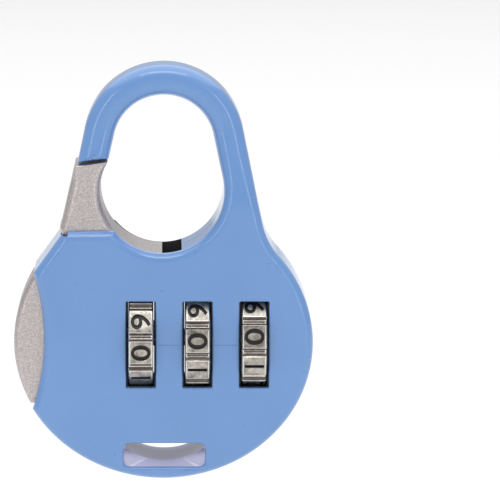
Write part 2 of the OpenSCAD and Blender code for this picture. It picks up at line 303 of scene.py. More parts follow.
def slab(name, outer, holes, y0, y1, fillet0, fillet1, hole_fillet=0.2, sharp_deg=35, insets=None):
    """A solid plate between y0 and y1 whose two faces have rounded edges. Fillets are numbers or lists."""
    bm = bmesh.new()
    loops = [counter_clockwise(outer)] + [counter_clockwise(h) for h in holes]
    ends = []
    for index, loop in enumerate(loops):
        rows = []
        for face_y, side, fillet in ((y0, 1, fillet0), (y1, -1, fillet1)):
            size = hole_fillet if index else fillet
            radii = size if isinstance(size, list) else [size] * len(loop)
            faces = [face_y] * len(loop)
            rows.append(fillet_rings(bm, loop, radii, faces, side, index > 0, None if index else insets))
        skin(bm, list(reversed(rows[0][0])) + rows[1][0])
        ends.append(rows)
    for which in (0, 1):
        cap(bm, [rows[which][1] for rows in ends], [rows[which][0][-1] for rows in ends])
    return add_object(name, bm, sharp_deg)


def cut(obj, cutter):
    """Takes cutter away from obj, exactly, and removes the cutter."""
    mod = obj.modifiers.new("cut", "BOOLEAN")
    mod.operation = "DIFFERENCE"
    mod.solver = "MANIFOLD"
    mod.material_mode = "TRANSFER"
    mod.object = cutter
    bpy.context.view_layer.update()
    shape = bpy.data.meshes.new_from_object(obj.evaluated_get(bpy.context.evaluated_depsgraph_get()))
    obj.modifiers.clear()
    old = obj.data
    if len(shape.vertices) == len(old.vertices):
        raise RuntimeError(f"cutting {obj.name} with {cutter.name} changed nothing")
    obj.data = shape
    bpy.data.meshes.remove(old)
    bpy.data.objects.remove(cutter, do_unlink=True)


def even_shading(obj):
    """Shades each vertex by its largest faces, so that flats stay flat beside their rounded edges."""
    mod = obj.modifiers.new("even_shading", "WEIGHTED_NORMAL")
    mod.keep_sharp = True
    mod.weight = 100


def merge(first, *others):
    """Joins objects into the first one."""
    bpy.ops.object.select_all(action="DESELECT")
    for obj in (first, *others):
        obj.select_set(True)
    bpy.context.view_layer.objects.active = first
    bpy.ops.object.join()
    return first


# ---- outlines ----

def crossing(test, a, b):
    """The value between a and b at which test changes sign, by halving."""
    for _ in range(50):
        middle = (a + b) / 2
        if (test(a) > 0) == (test(middle) > 0):
            a = middle
        else:
            b = middle
    return (a + b) / 2


def along_shoulder(t):
    """A point on the sloping shoulder, from its top at 0 to about its foot at 1."""
    return (SHOULDER_TOP[0] + (SHOULDER_LOW[0] - SHOULDER_TOP[0]) * t,
            SHOULDER_TOP[1] + (SHOULDER_LOW[1] - SHOULDER_TOP[1]) * t)


def thumb_gap(t):
    """How far a point of the case's oval is outside the scooped thumb edge."""
    p = oval(CASE_A, CASE_B, t, t, 1)[0]
    return math.dist(p, THUMB_AT) - THUMB_R


SHOULDER_FOOT = along_shoulder(crossing(lambda t: math.dist(along_shoulder(t), THUMB_AT) - THUMB_R, 0.6, 1.1))
BLEND_AT = (29.0, 23.45)
BLEND_R = 12.0
NECK_OUT = (polar(BOW, BOW_R, NECK_LEAN)[0] + (polar(BOW, BOW_R, NECK_LEAN)[1] - NECK_Z)
            * math.tan(math.radians(NECK_LEAN)), NECK_Z)
NECK_IN_A = math.degrees(math.asin((NECK_Z - PIVOT[1]) / FLOOR_R))
LOW_THUMB_T = crossing(thumb_gap, 200.0, 250.0)
LOW_THUMB = oval(CASE_A, CASE_B, LOW_THUMB_T, LOW_THUMB_T, 1)[0]
BLEND_A = 221.7
BLEND_LOW = polar(BLEND_AT, BLEND_R, BLEND_A)
NECK_T = math.degrees(math.atan2(BLEND_LOW[1] / CASE_B, BLEND_LOW[0] / CASE_A))
BOW_STEPS = 64
HOOK_END_OUT = (-14.8, 31.75)
HOOK_END_IN = (-9.4, 32.35)


def case_run():
    """The case from the neck's inner side, leftwards round to the neck's outer side."""
    thumb_a0 = math.degrees(math.atan2(SHOULDER_FOOT[1] - THUMB_AT[1], SHOULDER_FOOT[0] - THUMB_AT[0]))
    thumb_a1 = math.degrees(math.atan2(LOW_THUMB[1] - THUMB_AT[1], LOW_THUMB[0] - THUMB_AT[0]))
    cover_a = math.degrees(math.asin((COVER_Z - PIVOT[1]) / FLOOR_R))
    corner = (PIVOT[0] - math.cos(math.radians(cover_a)) * FLOOR_R, COVER_Z)
    return joined(
        arc(PIVOT, FLOOR_R, NECK_IN_A, -180 - cover_a, 60),
        line(corner, SHOULDER_TOP, 6),
        line(SHOULDER_TOP, SHOULDER_FOOT, 6),
        arc(THUMB_AT, THUMB_R, thumb_a0, thumb_a1, 30),
        oval(CASE_A, CASE_B, LOW_THUMB_T, 360 + NECK_T, 110),
        arc(BLEND_AT, BLEND_R, BLEND_A, 180 + NECK_LEAN, 10),
        [NECK_OUT],
    )


def hook_runs():
    """The hook's two edges, outer and inner, from the neck to the end of the short leg, point for point."""
    outer = joined(
        line(NECK_OUT, polar(BOW, BOW_R, NECK_LEAN), 14),
        arc(BOW, BOW_R, NECK_LEAN, 180 - LEG_LEAN, BOW_STEPS),
        line(polar(BOW, BOW_R, 180 - LEG_LEAN), HOOK_END_OUT, 6),
    )
    inner = joined(
        arc(PIVOT, FLOOR_R, NECK_IN_A, NECK_LEAN, 7),
        line(polar(PIVOT, FLOOR_R, NECK_LEAN), polar(BOW, BOW_R - BAR_W, NECK_LEAN), 7),
        arc(BOW, BOW_R - BAR_W, NECK_LEAN, 180 - LEG_LEAN, BOW_STEPS),
        line(polar(BOW, BOW_R - BAR_W, 180 - LEG_LEAN), HOOK_END_IN, 6),
    )
    return outer, inner


def smooth_step(low, high, v):
    t = max(0.0, min(1.0, (v - low) / (high - low)))
    return t * t * (3 - 2 * t)


def hook_half_t(z):
    """Half the thickness of the case and the hook at height z."""
    return HALF_T + (BAR_HALF_T - HALF_T) * smooth_step(NECK_Z, BOW[1] + 4, z)


def edge_fillet(p):
    """The fillet along the front housing's outline, larger around the hook."""
    return CASE_FILLET + (BOW_FILLET - CASE_FILLET) * smooth_step(NECK_Z - 4, BOW[1], p[1])


def edge_inset(p):
    """How far the rounding reaches in from an edge: less on the hook's end, none where it meets the case."""
    if abs(p[1] - NECK_Z) < 1e-4:
        return 0.0
    on_end = HOOK_END_IN[0] > p[0] > HOOK_END_OUT[0] and abs(
        (p[1] - HOOK_END_OUT[1]) * (HOOK_END_IN[0] - HOOK_END_OUT[0])
        - (p[0] - HOOK_END_OUT[0]) * (HOOK_END_IN[1] - HOOK_END_OUT[1])) < 0.01
    return 0.8 if on_end else edge_fillet(p)


def window_loop(name):
    x = DIAL_X[name]
    w, h = WINDOW_W / 2, WINDOW_H / 2
    return rounded([(x - w, -h), (x + w, -h), (x + w, h), (x - w, h)], 0.3, 3)


def slot_mouth():
    """The lanyard slot's mouth: a rectangle with round corners."""
    x0, x1 = SLOT_MID_X - SLOT_W / 2, SLOT_MID_X + SLOT_W / 2
    z0, z1 = SLOT_TOP_Z - SLOT_H, SLOT_TOP_Z
    return rounded([(x0, z0), (x1, z0), (x1, z1), (x0, z1)], 1.3, 8)


def slot_throat():
    """The slot's throat, a half moon: flat on top and curved underneath."""
    half = THROAT_W / 2
    top_z = SLOT_TOP_Z - THROAT_TOP_GAP
    spread_a = math.degrees(math.asin(half / THROAT_FLOOR_R))
    corner_x, corner_z = half - THROAT_CORNER_R, top_z - THROAT_CORNER_R
    floor_centre = (SLOT_MID_X, SLOT_TOP_Z - THROAT_DROP + THROAT_FLOOR_R)
    return joined(
        arc(floor_centre, THROAT_FLOOR_R, 270 - spread_a, 270 + spread_a, 24),
        arc((SLOT_MID_X + corner_x, corner_z), THROAT_CORNER_R, 0, 90, 8),
        arc((SLOT_MID_X - corner_x, corner_z), THROAT_CORNER_R, 90, 180, 8),
    )


# ---- blue shells ----

def shell_half(bm, side, with_hook):
    """One half of the case in y < 0 (side 1) or y > 0 (side -1), up to the parting face at y = 0."""
    case = case_run()
    hook_out, hook_in = hook_runs()
    case_count = len(case)
    if with_hook:
        outline = case + hook_out[1:] + list(reversed(hook_in))[:-1]
    else:
        outline = case
    # the run goes clockwise as drawn, so it is reversed to run counter-clockwise
    flip = area(outline) < 0
    loop = list(reversed(outline)) if flip else outline
    radii = [edge_fillet(p) for p in loop]
    insets = edge_sizes(loop, edge_inset)
    faces = [-side * hook_half_t(p[1]) for p in loop]
    seam = edge_sizes(loop, lambda p: SEAM_DEPTH if p[1] < NECK_Z - 2 else 0.0)
    turned, last = fillet_rings(bm, loop, radii, faces, side, insets=insets)
    rings = [ring_verts(bm, inset(loop, seam), 0.0), ring_verts(bm, loop, -side * SEAM_DEPTH)] + turned
    count = len(loop)
    order = [count - 1 - i for i in range(count)] if flip else list(range(count))
    case_index = [order[i] for i in range(case_count)]
    first, final = case_index[0], case_index[-1]
    for a, b in zip(rings, rings[1:]):
        for i in range(count):
            j = (i + 1) % count
            if not with_hook and {i, j} == {first, final}:
                continue
            bm.faces.new((a[i], a[j], b[j], b[i]))
    if with_hook:
        hook_index = [order[case_count - 1 + i] for i in range(len(hook_out))]
        inner_index = [order[0]] + [order[count - i] for i in range(1, len(hook_in))]
        for k in range(len(hook_out) - 1):
            quad = [rings[-1][i] for i in (hook_index[k], hook_index[k + 1], inner_index[k + 1], inner_index[k])]
            bm.faces.new(quad)
    else:
        bm.faces.new([ring[first] for ring in rings] + [ring[final] for ring in reversed(rings)])
    return rings, last, case_index


def case_face(bm, rings, last, case_index, face_y, side):
    """The case's flat outer face with its windows and the lanyard slot, and the parting face behind it."""
    holes = [(window_loop(name), WINDOW_FILLET) for name in DIALS] + [(slot_mouth(), MOUTH_FILLET)]
    front_loops, front_rings = [[last[i] for i in case_index]], [[rings[-1][i] for i in case_index]]
    back_loops, back_rings = [[last[i] for i in case_index]], [[rings[0][i] for i in case_index]]
    for hole, r in holes:
        loop = counter_clockwise(hole)
        turned, edge = fillet_rings(bm, loop, [r] * len(loop), [face_y] * len(loop), side, hole=True)
        floor = ring_verts(bm, loop, 0.0)
        skin(bm, [floor] + turned)
        front_loops.append(edge)
        front_rings.append(turned[-1])
        back_loops.append(loop)
        back_rings.append(floor)
    cap(bm, front_loops, front_rings)
    cap(bm, back_loops, back_rings)


def hollow_outlines():
    """The spaces between the plates: the works' bay, the gate's bay, the tail's gap and the pad's opening."""
    along = (Vector(SHOULDER_LOW) - Vector(SHOULDER_TOP)).normalized()
    inward = Vector((-along.y, along.x)) * SHOULDER_WALL
    wall_top, wall_low = Vector(SHOULDER_TOP) + inward, Vector(SHOULDER_LOW) + inward
    bay_a, bay_b = CASE_A - WALL_T, CASE_B - WALL_T
    bay = [p for p in oval(bay_a, bay_b, 0, 360, 160)[:-1]
           if math.dist(p, PIVOT) > FLOOR_R + WALL_T
           and (Vector(p) - wall_top).dot(inward) > 0]
    # follow the floor's wall where the oval runs into the opening
    split = next(i for i in range(len(bay)) if math.dist(bay[i - 1], bay[i]) > 6)
    before, after = bay[split - 1], bay[split]
    a0 = math.degrees(math.atan2(before[1] - PIVOT[1], before[0] - PIVOT[0])) % 360
    a1 = math.degrees(math.atan2(after[1] - PIVOT[1], after[0] - PIVOT[0])) % 360
    bay = bay[:split] + arc(PIVOT, FLOOR_R + WALL_T, a0, a1, 24)[1:-1] + bay[split:]
    gate = arc(PIVOT, GATE_OUT_R + 0.25, 185, 232, 24) + arc(PIVOT, FLOOR_R - 1, 232, 185, 16)
    gap = arc(PIVOT, TAIL_OUT_R + 0.35, 228, GAP_END_A, 24) + arc(PIVOT, FLOOR_R - 1, GAP_END_A, 228, 16)
    arm_low, arm_high = (-19, 8), (-10, 14)
    pad = [(-19, -11.5), (-21.2, -12.3), (-32, -18), (-32, SHOULDER_LOW[1]),
           (SHOULDER_LOW[0] - 0.6, SHOULDER_LOW[1] + 0.4), tuple(wall_low), arm_low]
    corner = [tuple(wall_top), tuple(wall_low), arm_low, arm_high]
    return [bay, gate, gap, pad, corner]


def hollow(obj, y0, y1):
    """Cuts the hollow out of a shell half, except around the lanyard slot."""
    bay, *others = hollow_outlines()
    reach = SLOT_W / 2 + SLOT_WALL
    bay = notch_for_slot(bay, SLOT_MID_X - reach, SLOT_MID_X + reach, SLOT_TOP_Z + SLOT_WALL)
    for outline in [bay, *others]:
        cutter = slab("hollow", outline, [], y0, y1, SHARP / 10, SHARP / 10)
        # the hollow's cut faces take the near-black casting: painted shade inside the case
        cutter.data.materials.append(painted_shade_casting)
        cut(obj, cutter)


def notch_for_slot(outline, x0, x1, z):
    """Raises the bottom of an outline to clear the lanyard slot's walls."""
    loop = counter_clockwise(outline)
    keep = [p for p in loop if not (x0 <= p[0] <= x1 and p[1] < 0)]
    start = next(i for i, p in enumerate(keep) if p[0] > x1 and keep[i - 1][0] < x0 and p[1] < 0)
    low_left, low_right = keep[start - 1], keep[start]
    notch = [(x0, low_left[1]), (x0, z), (x1, z), (x1, low_right[1])]
    return keep[:start] + notch + keep[start:]


def slot_lining(name, side):
    """The sloped wall between the slot's mouth and its narrower throat, in one half of the case."""
    mouth = counter_clockwise(slot_mouth())
    throat = counter_clockwise(slot_throat())
    centre = (SLOT_MID_X, SLOT_TOP_Z - SLOT_H / 2)
    count = 180

    def at_angle(loop, a):
        """Where a ray from the slot's centre crosses a loop."""
        d = (math.cos(a), math.sin(a))
        for i in range(len(loop)):
            p, q = loop[i - 1], loop[i]
            ex, ez = q[0] - p[0], q[1] - p[1]
            det = d[0] * -ez + d[1] * ex
            if abs(det) < 1e-12:
                continue
            px, pz = p[0] - centre[0], p[1] - centre[1]
            t = (px * -ez + pz * ex) / det
            s = (d[0] * pz - d[1] * px) / det
            if t > 0 and -1e-9 <= s <= 1 + 1e-9:
                return (centre[0] + d[0] * t, centre[1] + d[1] * t)
        raise RuntimeError("a ray from the slot's centre meets no edge")

    # the rays start a little off the axis, so that none of them goes through a corner
    stops = [2 * math.pi * (i + 0.4) / count for i in range(count)]
    wide = [at_angle(mouth, a) for a in stops]
    narrow = [at_angle(throat, a) for a in stops]
    grown = inset(wide, [-LINING_LAP] * count)
    front, neck = -side * (HALF_T - LINING_DEPTH), -side * (HALF_T - THROAT_DEPTH)
    bm = bmesh.new()
    rows = [ring_verts(bm, loop, depth) for loop, depth in (
        (grown, front), (wide, front), (narrow, neck), (narrow, 0.0), (grown, 0.0))]
    skin(bm, rows + [rows[0]])
    return add_object(name, bm, 20)


def make_front_housing():
    bm = bmesh.new()
    rings, last, case_index = shell_half(bm, 1, with_hook=True)
    case_face(bm, rings, last, case_index, -HALF_T, 1)
    # the rear half of the hook: the same rings mirrored, above the neck
    hook_out, hook_in = hook_runs()
    loop = counter_clockwise(hook_out + list(reversed(hook_in)))
    radii = [edge_fillet(p) for p in loop]
    faces = [hook_half_t(p[1]) for p in loop]
    # the edge where the hook meets the rear cover stays where it is, so the rings slide along it
    turned, _ = fillet_rings(bm, loop, radii, faces, -1, insets=edge_sizes(loop, edge_inset))
    rows = [ring_verts(bm, loop, 0.0)] + turned
    count = len(loop)
    neck = [i for i, p in enumerate(loop) if abs(p[1] - NECK_Z) < 1e-4]
    for a, b in zip(rows, rows[1:]):
        for i in range(count):
            j = (i + 1) % count
            if i in neck and j in neck:
                continue
            bm.faces.new((a[i], a[j], b[j], b[i]))
    bm.faces.new([row[neck[0]] for row in rows] + [row[neck[1]] for row in reversed(rows)])
    where = {(round(p[0], 5), round(p[1], 5)): i for i, p in enumerate(loop)}
    pairs = [(where[(round(o[0], 5), round(o[1], 5))], where[(round(n[0], 5), round(n[1], 5))])
             for o, n in zip(hook_out, hook_in)]
    for (o0, n0), (o1, n1) in zip(pairs, pairs[1:]):
        bm.faces.new([rows[-1][i] for i in (o0, o1, n1, n0)])
    return add_object("front_shell", bm)


def make_rear_cover():
    bm = bmesh.new()
    rings, last, case_index = shell_half(bm, -1, with_hook=False)
    case_face(bm, rings, last, case_index, HALF_T, -1)
    return add_object("rear_shell", bm)


# ---- materials ----

def material(name, base, metallic=0.0, roughness=0.4, coat=0.0, specular=0.5):
    """A principled material with constant values set, and its nodes for adding detail."""
    mat = bpy.data.materials.new(name)
    mat.use_nodes = True
    shader = mat.node_tree.nodes["Principled BSDF"]
    shader.inputs["Base Color"].default_value = (*base, 1)
    shader.inputs["Metallic"].default_value = metallic
    shader.inputs["Roughness"].default_value = roughness
    shader.inputs["Coat Weight"].default_value = coat
    shader.inputs["Coat Roughness"].default_value = 0.04
    shader.inputs["Specular IOR Level"].default_value = specular
    mat.diffuse_color = (*base, 1)
    return mat, shader


def noise(mat, scale, detail=4.0, rough=0.5):
    """A noise texture over object space, in metres."""
    nodes, links = mat.node_tree.nodes, mat.node_tree.links
    where = nodes.new("ShaderNodeTexCoord")
    tex = nodes.new("ShaderNodeTexNoise")
    tex.inputs["Scale"].default_value = scale
    tex.inputs["Detail"].default_value = detail
    tex.inputs["Roughness"].default_value = rough
    links.new(where.outputs["Object"], tex.inputs["Vector"])
    return tex


def ramp(mat, source, stops):
    """A colour ramp fed by a texture."""
    node = mat.node_tree.nodes.new("ShaderNodeValToRGB")
    mat.node_tree.links.new(source, node.inputs["Fac"])
    elements = node.color_ramp.elements
    while len(elements) < len(stops):
        elements.new(0.5)
    for element, (at, colour) in zip(elements, stops):
        element.position = at
        element.color = (*colour, 1)
    return node


def spread(mat, source, low, high):
    """Maps a texture's 0 to 1 onto a range."""
    node = mat.node_tree.nodes.new("ShaderNodeMapRange")
    mat.node_tree.links.new(source, node.inputs["Value"])
    node.inputs["From Min"].default_value = 0.3
    node.inputs["From Max"].default_value = 0.7
    node.inputs["To Min"].default_value = low
    node.inputs["To Max"].default_value = high
    return node


def bump(mat, shader, source, strength, distance):
    node = mat.node_tree.nodes.new("ShaderNodeBump")
    node.inputs["Strength"].default_value = strength
    node.inputs["Distance"].default_value = distance
    mat.node_tree.links.new(source, node.inputs["Height"])
    mat.node_tree.links.new(node.outputs["Normal"], shader.inputs["Normal"])
    return node


def blue_paint(name, base):
    """Glossy light-blue stoved paint with a trace of orange peel."""
    mat, shader = material(name, base, roughness=0.32, coat=0.8)
    links = mat.node_tree.links
    tint = noise(mat, 60, 3)
    links.new(ramp(mat, tint.outputs["Fac"], [
        (0.3, tuple(c * 0.97 for c in base)), (0.7, tuple(c * 1.03 for c in base))]).outputs["Color"],
        shader.inputs["Base Color"])
    links.new(spread(mat, noise(mat, 220, 3).outputs["Fac"], 0.27, 0.37).outputs["Result"],
              shader.inputs["Roughness"])
    bump(mat, shader, noise(mat, 900, 2).outputs["Fac"], 0.05, 0.0002)
    return mat


def silver_paint():
    """Satin silver paint with a fine metallic grain."""
    mat, shader = material("silver_paint", (0.50, 0.46, 0.455), metallic=0.9, roughness=0.4)
    links = mat.node_tree.links
    grain = noise(mat, 5200, 2, 0.7)
    links.new(ramp(mat, grain.outputs["Fac"], [
        (0.25, (0.30, 0.27, 0.27)), (0.5, (0.50, 0.46, 0.455)), (0.78, (0.79, 0.74, 0.735))]).outputs["Color"],
        shader.inputs["Base Color"])
    links.new(spread(mat, noise(mat, 3000, 2).outputs["Fac"], 0.34, 0.52).outputs["Result"],
              shader.inputs["Roughness"])
    bump(mat, shader, grain.outputs["Fac"], 0.25, 0.00008)
    return mat


def dial_nickel():
    """Dull gunmetal nickel, smudged and worn bright in places."""
    mat, shader = material("dial_nickel", (0.42, 0.39, 0.35), metallic=0.9, roughness=0.36)
    links = mat.node_tree.links
    smudge = noise(mat, 700, 5, 0.65)
    links.new(ramp(mat, smudge.outputs["Fac"], [
        (0.3, (0.16, 0.145, 0.125)), (0.52, (0.4, 0.37, 0.33)), (0.75, (0.66, 0.63, 0.58))]).outputs["Color"],
        shader.inputs["Base Color"])
    links.new(spread(mat, noise(mat, 1500, 4).outputs["Fac"], 0.26, 0.5).outputs["Result"],
              shader.inputs["Roughness"])
    bump(mat, shader, noise(mat, 3500, 3).outputs["Fac"], 0.2, 0.00006)
    return mat


def metal(name, base, roughness, scale=2500, metallic=1.0):
    """Plain worked metal with a fine mottle."""
    mat, shader = material(name, base, metallic=metallic, roughness=roughness)
    links = mat.node_tree.links
    dark, light = tuple(c * 0.8 for c in base), tuple(min(1, c * 1.15) for c in base)
    links.new(ramp(mat, noise(mat, scale, 4).outputs["Fac"], [(0.3, dark), (0.7, light)]).outputs["Color"],
              shader.inputs["Base Color"])
    links.new(spread(mat, noise(mat, scale / 2, 3).outputs["Fac"], roughness * 0.8, roughness * 1.25)
              .outputs["Result"], shader.inputs["Roughness"])
    bump(mat, shader, noise(mat, scale, 3).outputs["Fac"], 0.12, 0.00005)
    return mat


# near-black casting: painted shade on the case's inside faces, the walls beside the dials and the notch
painted_shade_casting = metal("painted_shade_casting", (0.035, 0.033, 0.035), 0.75, metallic=0.2)
digit_black = metal("digit_black", (0.008, 0.008, 0.009), 0.5, metallic=0.0)
BLUE = blue_paint("blue_paint", (0.125, 0.27, 0.57))
# paler, lavender blue for the slot's lining: painted reflection of the light above on its upward faces
BLUE_PAINTED_REFLECTION = blue_paint("blue_paint_painted_reflection", (0.5, 0.5, 0.68))
SILVER = silver_paint()
NICKEL = dial_nickel()
# lighter nickel for the bevelled dial edges: rubbed edges and painted glints
NICKEL_WORN_EDGE_AND_GLINT = metal("dial_worn_edge_and_painted_glint", (0.72, 0.69, 0.64), 0.28)
# darker nickel for the grooves between the digit flats: painted shade
NICKEL_GROOVE_SHADE = metal("dial_groove_painted_shade", (0.16, 0.14, 0.125), 0.5)
STEEL = metal("turned_steel", (0.5, 0.5, 0.51), 0.3)
SPRING = metal("spring_steel", (0.42, 0.42, 0.44), 0.28)
BRASS = metal("turned_brass", (0.68, 0.47, 0.2), 0.32)


# ---- gate lever ----

GATE_TOP = [(-9.75, 31.95), (-15.3, 31.2)]


def gate_outline():
    """The gate, its tail and its arm, counter-clockwise."""
    top_in, top_out = GATE_TOP
    foot = (-17.8, 20.3)
    top_a = math.degrees(math.atan2(top_in[1] - PIVOT[1], top_in[0] - PIVOT[0]))
    foot_a = math.degrees(math.atan2(foot[1] - PIVOT[1], foot[0] - PIVOT[0])) % 360
    return joined(
        arc(PIVOT, FLOOR_R, 270, top_a, 60),
        line(top_in, top_out, 6),
        line(top_out, foot, 10),
        arc(PIVOT, GATE_OUT_R, foot_a, 211.5, 6),
        [(-17.35, 16.7), (-21.15, 11.6), (-20.6, 8), (-18.4, 8.4), (-10.6, 11.2)],
        arc(PIVOT, TAIL_OUT_R, 238, 270, 20),
    )


def gate_fillet(p):
    """Large rounding on the part of the gate that shows, little inside the case and along its top."""
    (x0, z0), (x1, z1) = GATE_TOP
    below_top = z0 + (p[0] - x0) * (z1 - z0) / (x1 - x0) - p[1]
    shown = smooth_step(COVER_Z - 3.5, COVER_Z + 1.5, p[1]) * smooth_step(-0.5, 2.5, below_top)
    return 0.2 + 1.2 * shown


def gate_inset(p):
    """How far the gate's rounding reaches in from an edge, less along its top."""
    (x0, z0), (x1, z1) = GATE_TOP
    on_top = abs((p[1] - z0) * (x1 - x0) - (p[0] - x0) * (z1 - z0)) < 0.01 and p[1] > COVER_Z
    return 0.2 if on_top else gate_fillet(p)


def guide_slot():
    """The curved slot that the fixed guide pin runs in."""
    r, half = GUIDE_R, GUIDE_SLOT_HALF
    a0, a1 = GUIDE_A - LEVER_TRAVEL - GUIDE_SLACK_A, GUIDE_A + GUIDE_SLACK_A
    first, second = polar(PIVOT, r, a0), polar(PIVOT, r, a1)
    return joined(
        arc(PIVOT, r + half, a0, a1, 12),
        arc(second, half, a1, a1 + 180, 10),
        arc(PIVOT, r - half, a1, a0, 12),
        arc(first, half, a0 + 180, a0 + 360, 10),
    )


def pad_outline():
    """The thumb pad: a lens between the case's oval and the scooped edge, with its hidden skirt."""
    r = THUMB_R + PAD_LAP
    low_z, high_z = PAD_LOW_Z, PAD_HIGH_Z

    def oval_t(z):
        return 180 - math.degrees(math.asin(z / CASE_B))

    def skirt_a(z):
        return math.degrees(math.asin((z - THUMB_AT[1]) / r))

    outline = joined(
        oval(CASE_A - 0.05, CASE_B - 0.05, oval_t(high_z), oval_t(low_z), 40),
        arc(THUMB_AT, r, skirt_a(low_z), skirt_a(high_z), 30),
    )
    return outline


def pad_fillet(p):
    """Rounded along the outer edge, sharp where the pad runs in behind the plates."""
    on_skirt = abs(math.dist(p, THUMB_AT) - THUMB_R - PAD_LAP) < 0.05
    return 0.15 if on_skirt else 1.1


def make_gate_lever():
    outline = counter_clockwise(gate_outline())
    fillets = [gate_fillet(p) for p in outline]
    gate = slab("gate_casting", outline, [guide_slot()], -LEVER_HALF_T, LEVER_HALF_T, fillets, fillets, 0.1,
                insets=edge_sizes(outline, gate_inset))
    outline = counter_clockwise(pad_outline())
    fillets = [pad_fillet(p) for p in outline]
    pad = slab("pad", outline, [], -LEVER_HALF_T, LEVER_HALF_T, fillets, fillets)
    way_corners = [(-17.52, -1.7), (-11.4, -1.7), (-11.4, 4.75), (-20.1, 4.75), (-20.1, 2.77)]
    cut(pad, slab("rod_way", way_corners, [], -1.7, 1.7, 0, 0))
    nose = slab("nose", [(-20.1, 2.77), (-21, 3.2), (-20.6, -4), (-18.4, -2.9), (-17.52, -1.7)], [],
                -2.0, 2.0, 0.1, 0.1)
    return merge(gate, pad, nose)


# ---- dials ----

def digit_shape(digit):
    """One digit as a solid, standing on the X and Y plane, top towards +Y, centred."""
    curve = bpy.data.curves.new(f"digit_{digit}", "FONT")
    curve.body = str(digit)
    curve.align_x = "CENTER"
    curve.align_y = "CENTER"
    curve.size = 4.7 * MM
    curve.offset = 0.07 * MM
    curve.extrude = 0.35 * MM
    curve.resolution_u = 6
    obj = bpy.data.objects.new(f"digit_{digit}", curve)
    bpy.context.scene.collection.objects.link(obj)
    bpy.context.view_layer.update()
    mesh = bpy.data.meshes.new_from_object(obj.evaluated_get(bpy.context.evaluated_depsgraph_get()))
    bpy.data.objects.remove(obj, do_unlink=True)
    xs = [v.co.x for v in mesh.vertices]
    ys = [v.co.y for v in mesh.vertices]
    middle = Vector(((min(xs) + max(xs)) / 2, (min(ys) + max(ys)) / 2, 0))
    widen = 1.0 if digit == 1 else 1.3
    for v in mesh.vertices:
        v.co -= middle
        v.co.x *= widen
    return mesh


def dial_wheel():
    """One dial about the X axis at the origin, with 0 facing the front."""
    groove_r = DIAL_FLAT_R - GROOVE_DEPTH
    corner_r = DIAL_FLAT_R / math.cos(math.radians(LAND_HALF_A))
    profile = []
    for k in range(DIGITS):
        middle_a = k * DIGIT_STEP
        profile += [
            (groove_r, middle_a - GROOVE_HALF_A), (corner_r, middle_a - LAND_HALF_A),
            (corner_r, middle_a + LAND_HALF_A), (groove_r, middle_a + GROOVE_HALF_A),
        ]
    half = DIAL_W / 2
    chamfer = DIAL_CHAMFER
    bm = bmesh.new()

    def around(x, r, a):
        t = math.radians(a)
        return bm.verts.new(Vector((x, -r * math.cos(t), r * math.sin(t))) * MM)

    def ring(x, shrink):
        return [around(x, r - shrink, a) for r, a in profile]

    def bore(x):
        return [around(x, DIAL_BORE_R, a) for _, a in profile]

    rows = [bore(-half), ring(-half, chamfer), ring(-half + chamfer, 0), ring(half - chamfer, 0),
            ring(half, chamfer), bore(half)]
    skin(bm, rows + [rows[0]])
    bmesh.ops.recalc_face_normals(bm, faces=bm.faces)
    mesh = bpy.data.meshes.new("dial_wheel")
    bm.to_mesh(mesh)
    bm.free()
    return mesh


def dial_turned(mesh, digit):
    """Puts a digit on its flat: its top to the left, its face outwards, higher digits further down."""
    down = math.radians(DIGIT_STEP * digit)
    for v in mesh.vertices:
        across, up, out = v.co.x, v.co.y, v.co.z
        # the digit's top points to -X, its right-hand side points up the dial
        x, tangent, radial = -up, across, DIAL_FLAT_R * MM + out
        v.co = Vector((x, -radial * math.cos(down) - tangent * math.sin(down),
                       -radial * math.sin(down) + tangent * math.cos(down)))
    return mesh


